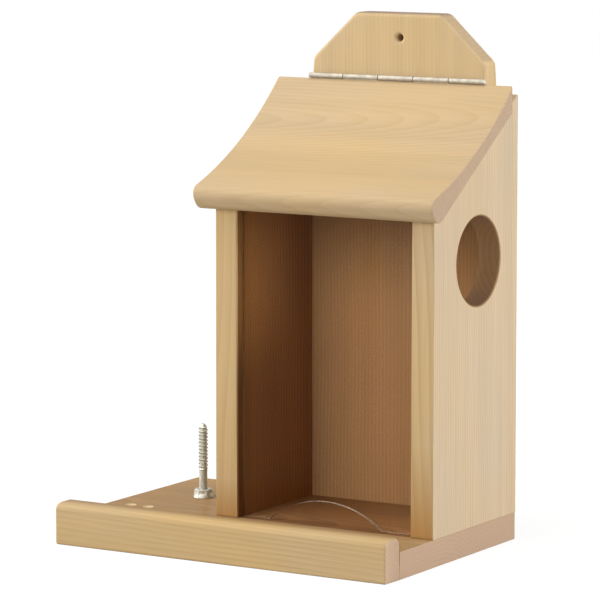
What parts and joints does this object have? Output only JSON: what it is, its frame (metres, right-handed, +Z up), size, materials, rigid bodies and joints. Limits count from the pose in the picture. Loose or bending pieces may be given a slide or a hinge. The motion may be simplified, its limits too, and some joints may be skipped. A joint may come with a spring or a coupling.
{
  "type": "squirrel feeder",
  "caption": "Wooden squirrel feeder: nut box with a hinged scooped roof, clear front pane, round side entry hole, open platform with a corn cob screw, and a back plate for hanging.",
  "frame": {"origin": "on the ground, in the middle of the overall length and depth", "axes": "+X to the right seen from the front, +Y to the back (the face that goes against a tree or wall), +Z up"},
  "size_m": [0.299, 0.2026, 0.4052],
  "materials": {
    "base_wood": "clear varnished softwood",
    "box_wood": "clear varnished softwood",
    "roof_wood": "clear varnished softwood",
    "dowel_wood": "raw beech",
    "clear_acrylic": "clear polished sheet",
    "zinc_sheet": "zinc plated",
    "steel_wire": "bright drawn",
    "screw_steel": "zinc plated",
    "zinc_bolt": "zinc plated"
  },
  "bodies": {
    "box": {"base_board": "base_wood", "front_lip": "base_wood", "left_side": "box_wood", "right_side": "box_wood", "back_board": "box_wood", "hinge_leaf_back": "zinc_sheet", "hinge_pin": "steel_wire", "hinge_screws_back": "screw_steel", "cob_screw": "zinc_bolt", "cob_flange_nut": "zinc_bolt", "cob_washer": "zinc_bolt", "cob_lower_nut": "zinc_bolt", "base_screws_sides": "screw_steel", "base_screws_back": "screw_steel", "left_side_dowels": "dowel_wood", "right_side_dowels": "dowel_wood", "lip_dowels": "dowel_wood"},
    "roof": {"roof": "roof_wood", "hinge_leaf_roof": "zinc_sheet", "hinge_screws_roof": "screw_steel"},
    "window": {"window_pane": "clear_acrylic"}
  },
  "joints": [
    {"name": "roof_hinge", "type": "hinge", "parent": "box", "child": "roof", "pos_m": [0.0475, 0.07995, 0.35502], "axis": [-1, 0, 0], "range_deg": [0, 130]},
    {"name": "window_lift", "type": "slide", "parent": "box", "child": "window", "axis": [0, 0, 1], "range_m": [0, 0.003]}
  ]
}
